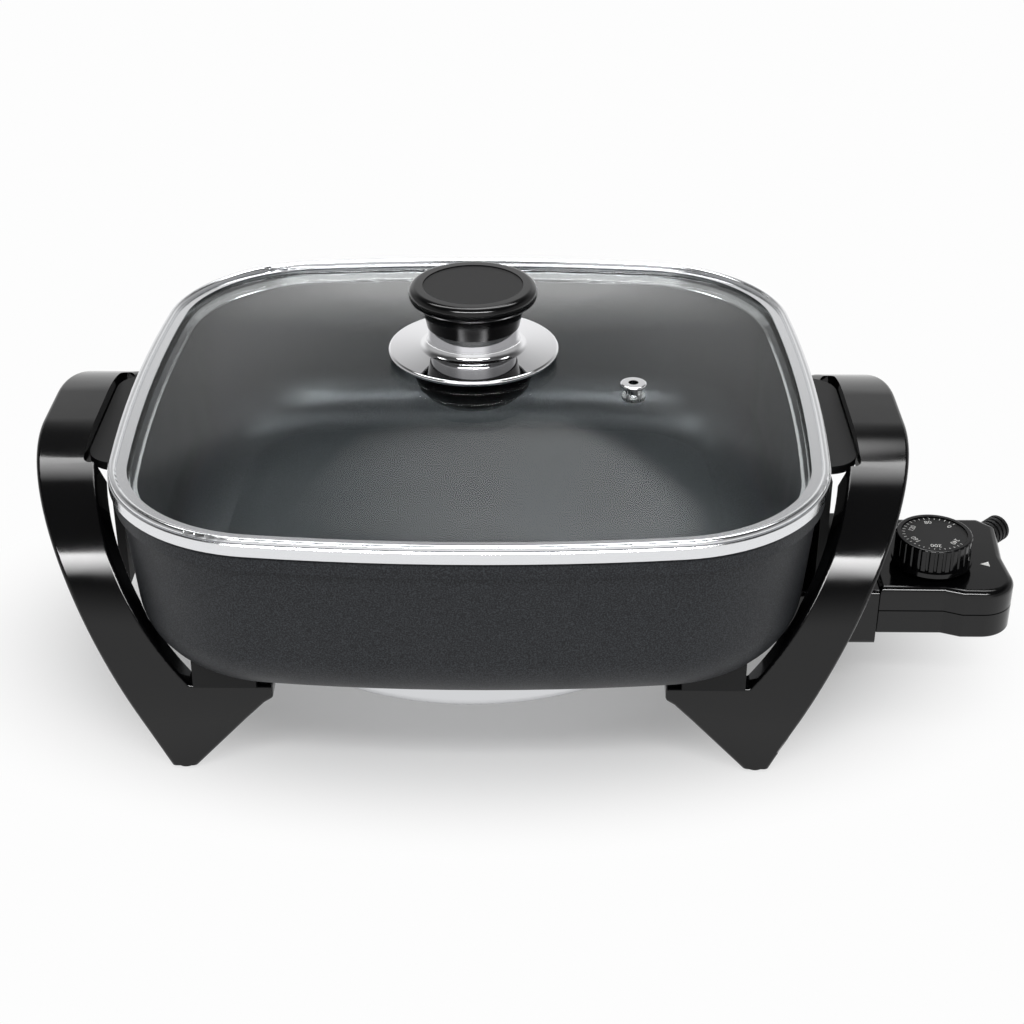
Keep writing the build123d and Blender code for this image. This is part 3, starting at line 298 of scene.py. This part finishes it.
# Heater disc: a thick aluminium casting screwed under the pan, its face and rim turned on a lathe.
# The turning leaves fine rings round the middle, about 0.6 mm apart, which stretch the highlights.
# They are drawn 3.8 mm apart so that they show. A wave texture turns by 20 radians over one unit.
ring_pitch = 0.00377
wave_rate = 20
turned = bpy.data.materials.new("turned_cast_aluminium")
tree = emptied(turned)
place = add(tree, "ShaderNodeTexCoord").outputs["Object"]
rings = add(tree, "ShaderNodeTexWave", {
    "Vector": place, "Scale": math.tau / wave_rate / ring_pitch, "Distortion": 0.4},
    wave_type="RINGS", rings_direction="Z")
cut = add(tree, "ShaderNodeBump", {"Height": rings.outputs["Fac"], "Strength": 0.25, "Distance": 0.00004})
body = add(tree, "ShaderNodeBsdfPrincipled", {
    "Base Color": linear("#d9dadc"), "Metallic": 1, "Roughness": 0.3, "Normal": cut.outputs[0]})
add(tree, "ShaderNodeOutputMaterial", {"Surface": body.outputs[0]})
skin("heater_plate", turned)

# Side stands: each grip with its two legs is one thick moulding in black phenolic resin.
# Press-moulded phenolic is glossy, with a very faint long-wave ripple that bends its reflections.
ripple_size = 0.012
phenolic = bpy.data.materials.new("gloss_black_phenolic")
tree = emptied(phenolic)
place = add(tree, "ShaderNodeTexCoord").outputs["Object"]
ripple = add(tree, "ShaderNodeTexNoise", {"Vector": place, "Scale": 1 / ripple_size, "Detail": 1})
handled = add(tree, "ShaderNodeTexNoise", {"Vector": place, "Scale": 1 / (3 * ripple_size), "Detail": 4})
gloss = add(tree, "ShaderNodeMapRange", {
    "Value": handled.outputs["Fac"], "From Min": 0.35, "From Max": 0.7, "To Min": 0.08, "To Max": 0.13})
wave = add(tree, "ShaderNodeBump", {"Height": ripple.outputs["Fac"], "Strength": 0.05, "Distance": 0.0004})
body = add(tree, "ShaderNodeBsdfPrincipled", {
    "Base Color": linear("#070708"), "Roughness": gloss.outputs[0], "Specular IOR Level": 0.4,
    "Normal": wave.outputs[0]})
add(tree, "ShaderNodeOutputMaterial", {"Surface": body.outputs[0]})
for node in ("right_stand", "left_stand", "inlet_shroud"):
    skin(node, phenolic)

# Heat guards and spacers: plain phenolic mouldings screwed beside and under the pan.
# The knob's bush and inlay and the dial's face are made alike, in moulds with a spark-eroded face.
# The fine grain, about 0.4 mm, leaves them matt beside the glossy grips.
grain_size = 0.0004
satin_phenolic = bpy.data.materials.new("grained_black_phenolic")
tree = emptied(satin_phenolic)
place = add(tree, "ShaderNodeTexCoord").outputs["Object"]
grain = add(tree, "ShaderNodeTexNoise", {"Vector": place, "Scale": 1 / grain_size, "Detail": 2})
pitted = add(tree, "ShaderNodeBump", {"Height": grain.outputs["Fac"], "Strength": 0.3, "Distance": 0.00005})
body = add(tree, "ShaderNodeBsdfPrincipled", {
    "Base Color": linear("#0f0f10"), "Roughness": 0.48, "Specular IOR Level": 0.25,
    "Normal": pitted.outputs[0]})
add(tree, "ShaderNodeOutputMaterial", {"Surface": body.outputs[0]})
for node in ("right_guard", "left_guard", "stand_spacers", "knob_bush", "knob_inlay", "dial_face"):
    skin(node, satin_phenolic)

# Rubber feet, knob gasket and cord gland: moulded black rubber, dull and slightly dusty.
# The feet are pressed into the legs by their stems, and the gland sits in the control's cut corner.
rubber_grain = 0.0006
rubber = bpy.data.materials.new("moulded_black_rubber")
tree = emptied(rubber)
place = add(tree, "ShaderNodeTexCoord").outputs["Object"]
grain = add(tree, "ShaderNodeTexNoise", {"Vector": place, "Scale": 1 / rubber_grain, "Detail": 3})
bloom = add(tree, "ShaderNodeMix", {
    "Factor": grain.outputs["Fac"], 6: linear("#101011"), 7: linear("#1d1d1e")}, data_type="RGBA")
pitted = add(tree, "ShaderNodeBump", {"Height": grain.outputs["Fac"], "Strength": 0.2, "Distance": 0.00005})
body = add(tree, "ShaderNodeBsdfPrincipled", {
    "Base Color": bloom.outputs[2], "Roughness": 0.55, "Specular IOR Level": 0.4,
    "Normal": pitted.outputs[0]})
add(tree, "ShaderNodeOutputMaterial", {"Surface": body.outputs[0]})
for node in ("rubber_feet", "knob_gasket", "cord_gland"):
    skin(node, rubber)

# Lid rim: a strip of stainless steel rolled into a channel round the glass and polished along its length.
# The polish leaves it bright but not a mirror, with faint duller patches about 2 mm across.
def bare_metal(name, colour, patch_size, detail, dull_low, dull_high):
    """A bare or plated metal whose polish changes a little from patch to patch."""
    metal = bpy.data.materials.new(name)
    tree = emptied(metal)
    place = add(tree, "ShaderNodeTexCoord").outputs["Object"]
    patches = add(tree, "ShaderNodeTexNoise", {"Vector": place, "Scale": 1 / patch_size, "Detail": detail})
    polish = add(tree, "ShaderNodeMapRange", {
        "Value": patches.outputs["Fac"], "From Min": 0.3, "From Max": 0.7, "To Min": dull_low,
        "To Max": dull_high})
    body = add(tree, "ShaderNodeBsdfPrincipled", {
        "Base Color": linear(colour), "Metallic": 1, "Roughness": polish.outputs[0]})
    add(tree, "ShaderNodeOutputMaterial", {"Surface": body.outputs[0]})
    return metal


polish_patch = 0.002
rolled = bare_metal(
    "polished_stainless_strip", "#e3e4e6", polish_patch, detail=2, dull_low=0.13, dull_high=0.19)
skin("lid_rim", rolled)

# Lid glass: a clear tempered soda-lime pane, slumped into a low dome and held in the rim.
# Lamps shine through it without bending, so that the pan under it is lit as under real glass.
# Its IOR is below the usual 1.52, which keeps the mirrored studio faint on the dome.
clear = bpy.data.materials.new("clear_tempered_glass")
tree = emptied(clear)
path = add(tree, "ShaderNodeLightPath")
pane = add(tree, "ShaderNodeBsdfPrincipled", {
    "Base Color": linear("#fafcfb"), "Roughness": 0, "IOR": 1.14, "Transmission Weight": 1})
through = add(tree, "ShaderNodeBsdfTransparent", {"Color": linear("#f4f6f5")})
mixed = add(tree, "ShaderNodeMixShader", {
    0: path.outputs["Is Shadow Ray"], 1: pane.outputs[0], 2: through.outputs[0]})
add(tree, "ShaderNodeOutputMaterial", {"Surface": mixed.outputs[0]})
skin("lid_glass", clear, sharp_angle=40)

# Knob: a glossy phenolic cap on a tapered neck, moulded in one, with a cup of the same resin under the glass.
# One screw from below draws the cup, the glass and the knob together.
for node in ("knob_grip", "knob_seat"):
    skin(node, phenolic)

# Knob flange and vent eyelet: a pressed steel disc with a collar and a rolled edge, and a small rolled tube.
# Both are chrome plated to a mirror. The knob clamps the flange, and the eyelet is rolled over in the glass.
chrome = bare_metal("bright_chrome_plate", "#ececee", polish_patch, detail=3, dull_low=0.03, dull_high=0.06)
skin("knob_flange", chrome)
skin("vent_eyelet", chrome)

# Steel fittings: vent washer, heating tube, screws, probe, pins and switch parts, all plain bright steel.
# Drawn and rolled steel has a fine grain that dulls it unevenly.
steel_grain = 0.0012
steel = bare_metal("plain_bright_steel", "#c3c4c6", steel_grain, detail=4, dull_low=0.2, dull_high=0.34)
for node in ("vent_washer", "heater_tube", "heater_screws", "contact_pins", "probe_sleeve", "inlet_screws",
             "stand_screws", "guard_screws", "knob_washer", "knob_screw", "control_screws", "probe_stem",
             "probe_collar", "terminal_clips", "thermostat_frame", "switch_blade", "contact_points"):
    skin(node, steel)

# Brass turnings: the knob's insert, and the dial's spindle with its bush and nut.
# They are turned from bar and left bare, which gives an uneven, warm sheen.
brass = bare_metal("turned_brass", "#c9a65a", steel_grain, detail=3, dull_low=0.22, dull_high=0.36)
for node in ("knob_insert", "spindle_bush", "spindle_nut", "dial_spindle"):
    skin(node, brass)

# Steatite insulators: the collars round the contact pins and the stack that carries the switch blade.
# Pressed and fired steatite is a matt cream ceramic with faint specks.
fired_speck = 0.0008
steatite = bpy.data.materials.new("fired_steatite")
tree = emptied(steatite)
place = add(tree, "ShaderNodeTexCoord").outputs["Object"]
specks = add(tree, "ShaderNodeTexNoise", {"Vector": place, "Scale": 1 / fired_speck, "Detail": 2})
cream = add(tree, "ShaderNodeMix", {
    "Factor": specks.outputs["Fac"], 6: linear("#efe9dc"), 7: linear("#d9d0bd")}, data_type="RGBA")
body = add(tree, "ShaderNodeBsdfPrincipled", {"Base Color": cream.outputs[2], "Roughness": 0.6})
add(tree, "ShaderNodeOutputMaterial", {"Surface": body.outputs[0]})
for node in ("pin_insulators", "insulator_stack"):
    skin(node, steatite)

# Heat control: two phenolic half shells screwed together round the thermostat, with a cord clamp inside.
# The fluted dial on top is moulded in the same glossy resin and pushed on its spindle.
for node in ("control_top_shell", "control_base_shell", "cord_clamp", "dial_knob"):
    skin(node, phenolic)

# Control pointer: a small white triangle screen printed on the housing's top, aimed at the dial.
# The ink is matt and faintly chalky, and lies almost flush with the resin.
print_lift = 0.00005
pointer_length = 0.0042
pointer_half = 0.0022
dial_low, dial_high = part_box("dial_knob")
dial_middle = (dial_low + dial_high) / 2
housing_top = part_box("control_top_shell")[1].z
pointer_gap = 0.0046
pointer_tip = Vector((dial_high.x + pointer_gap, dial_middle.y, housing_top + print_lift))
ink = bpy.data.materials.new("white_screen_print")
tree = emptied(ink)
place = add(tree, "ShaderNodeTexCoord").outputs["Object"]
specks = add(tree, "ShaderNodeTexNoise", {"Vector": place, "Scale": 1 / grain_size, "Detail": 2})
chalk = add(tree, "ShaderNodeMix", {
    "Factor": specks.outputs["Fac"], 6: linear("#f4f4f2"), 7: linear("#e2e2df")}, data_type="RGBA")
body = add(tree, "ShaderNodeBsdfPrincipled", {"Base Color": chalk.outputs[2], "Roughness": 0.5})
add(tree, "ShaderNodeOutputMaterial", {"Surface": body.outputs[0]})
mesh = bpy.data.meshes.new("control_pointer")
corners = [pointer_tip, pointer_tip + Vector((pointer_length, pointer_half, 0)),
           pointer_tip + Vector((pointer_length, -pointer_half, 0))]
sunk = Vector((0, 0, 2 * print_lift))
mesh.from_pydata([*corners, *[corner - sunk for corner in corners]], [],
                 [(0, 2, 1), (3, 4, 5), (0, 1, 4, 3), (1, 2, 5, 4), (2, 0, 3, 5)])
mesh.materials.append(ink)
pointer = bpy.data.objects.new("control_pointer", mesh)
scene.collection.objects.link(pointer)
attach(pointer, "control")

# Dial marks: white strokes printed round the dial's face, with plain numbers inside them.
# The strokes stand every ten degrees along the dial's working turn.
stroke_count = 29
stroke_long = 0.0013
stroke_wide = 0.00035
stroke_circle = 0.0143
sweep_degrees = 280
start_degrees = 40
face_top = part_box("dial_face")[1].z
marks = bpy.data.node_groups.new("dial_marks", "GeometryNodeTree")
for name in ("Long", "Wide", "Thick", "Circle"):
    marks.interface.new_socket(name, in_out="INPUT", socket_type="NodeSocketFloat")
marks.interface.new_socket("Count", in_out="INPUT", socket_type="NodeSocketInt")
marks.interface.new_socket("Place", in_out="INPUT", socket_type="NodeSocketVector")
marks.interface.new_socket("Ink", in_out="INPUT", socket_type="NodeSocketMaterial")
marks.interface.new_socket("Geometry", in_out="OUTPUT", socket_type="NodeSocketGeometry")
given = add(marks, "NodeGroupInput").outputs
arc = add(marks, "GeometryNodeCurveArc", {
    "Resolution": given["Count"], "Radius": given["Circle"], "Start Angle": math.radians(start_degrees),
    "Sweep Angle": math.radians(sweep_degrees)})
points = add(marks, "GeometryNodeCurveToPoints", {"Curve": arc.outputs["Curve"]}, mode="EVALUATED")
size = add(marks, "ShaderNodeCombineXYZ", {0: given["Long"], 1: given["Wide"], 2: given["Thick"]})
bar = add(marks, "GeometryNodeMeshCube", {"Size": size.outputs[0]})
outward = add(marks, "GeometryNodeInputPosition")
turn = add(marks, "FunctionNodeAlignRotationToVector", {"Vector": outward.outputs[0]}, axis="X")
strokes = add(marks, "GeometryNodeInstanceOnPoints", {
    "Points": points.outputs["Points"], "Instance": bar.outputs["Mesh"], "Rotation": turn.outputs[0]})
placed = add(marks, "GeometryNodeTransform", {
    "Geometry": strokes.outputs[0], "Translation": given["Place"]})
plain = add(marks, "GeometryNodeRealizeInstances", {"Geometry": placed.outputs[0]})
inked = add(marks, "GeometryNodeSetMaterial", {"Geometry": plain.outputs[0], "Material": given["Ink"]})
add(marks, "NodeGroupOutput", {"Geometry": inked.outputs[0]})


def grown(name, group, values):
    """Runs a node group with the given inputs and returns its result as a plain mesh object."""
    holder = bpy.data.objects.new(name, bpy.data.meshes.new(name + "_seed"))
    scene.collection.objects.link(holder)
    modifier = holder.modifiers.new(name, "NODES")
    modifier.node_group = group
    for socket in group.interface.items_tree:
        if socket.in_out == "INPUT":
            modifier[socket.identifier] = values[socket.name]
    result = bpy.data.meshes.new_from_object(holder.evaluated_get(bpy.context.evaluated_depsgraph_get()))
    holder.modifiers.remove(modifier)
    holder.data = result
    return holder


dial_strokes = grown("dial_strokes", marks, {
    "Long": stroke_long, "Wide": stroke_wide, "Thick": 2 * print_lift, "Circle": stroke_circle,
    "Count": stroke_count, "Place": (dial_middle.x, dial_middle.y, face_top), "Ink": ink})
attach(dial_strokes, "dial")

numbers = ("0", "80", "120", "160", "200", "240")
number_height = 0.0036
number_circle = 0.0108
joined = bmesh.new()
for index, number in enumerate(numbers):
    letters = bpy.data.curves.new("number_" + number, "FONT")
    letters.body = number
    letters.size = number_height
    letters.align_x = "CENTER"
    letters.align_y = "CENTER"
    letters.extrude = print_lift
    writer = bpy.data.objects.new("number_" + number, letters)
    scene.collection.objects.link(writer)
    shape = bpy.data.meshes.new_from_object(writer.evaluated_get(bpy.context.evaluated_depsgraph_get()))
    angle = math.radians(start_degrees + sweep_degrees * index / (len(numbers) - 1))
    spot = Vector((dial_middle.x, dial_middle.y, face_top))
    spot += number_circle * Vector((math.cos(angle), math.sin(angle), 0))
    shape.transform(Matrix.Translation(spot) @ Matrix.Rotation(angle - math.pi / 2, 4, "Z"))
    joined.from_mesh(shape)
    bpy.data.objects.remove(writer)
mesh = bpy.data.meshes.new("dial_numbers")
joined.to_mesh(mesh)
joined.free()
mesh.materials.append(ink)
dial_numbers = bpy.data.objects.new("dial_numbers", mesh)
scene.collection.objects.link(dial_numbers)
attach(dial_numbers, "dial")
